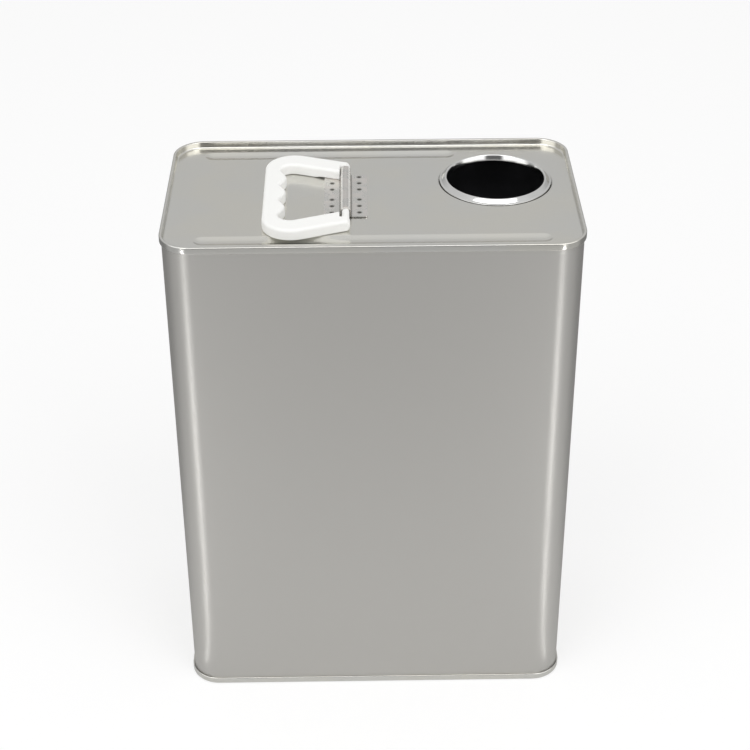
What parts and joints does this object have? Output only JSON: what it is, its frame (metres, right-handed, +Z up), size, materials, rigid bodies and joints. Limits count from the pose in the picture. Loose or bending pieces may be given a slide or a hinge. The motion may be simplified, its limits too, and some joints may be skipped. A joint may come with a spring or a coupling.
{
  "type": "rectangular tin can",
  "caption": "Tall rectangular tinplate can with double-seamed ends, a round open pour neck and a white plastic handle that folds flat on the recessed lid.",
  "frame": {"origin": "centre of the base, on the surface that the can stands on", "axes": "+Z up, X along the wide side with the neck at +X, the front faces -Y"},
  "size_m": [0.178, 0.102, 0.2411],
  "materials": {
    "tinplate": "satin rolled tinplate with faint vertical rolling lines",
    "bright_tinplate": "bright drawn tinplate",
    "white_polyethylene": "semi-matt moulded plastic",
    "sealing_compound": "matt",
    "neck_film": "matt"
  },
  "bodies": {
    "can": {"body_shell": "tinplate", "top_end": "tinplate", "bottom_end": "tinplate", "top_seam_seal": "sealing_compound", "bottom_seam_seal": "sealing_compound", "pour_neck_ring": "bright_tinplate", "pour_neck_seal": "neck_film", "handle_strap": "tinplate"},
    "handle": {"carry_handle": "white_polyethylene"}
  },
  "joints": [
    {"name": "handle_fold", "type": "hinge", "parent": "can", "child": "handle", "pos_m": [-0.0114, -0.0044, 0.23885], "axis": [0, 1, 0], "range_deg": [0, 180]}
  ]
}
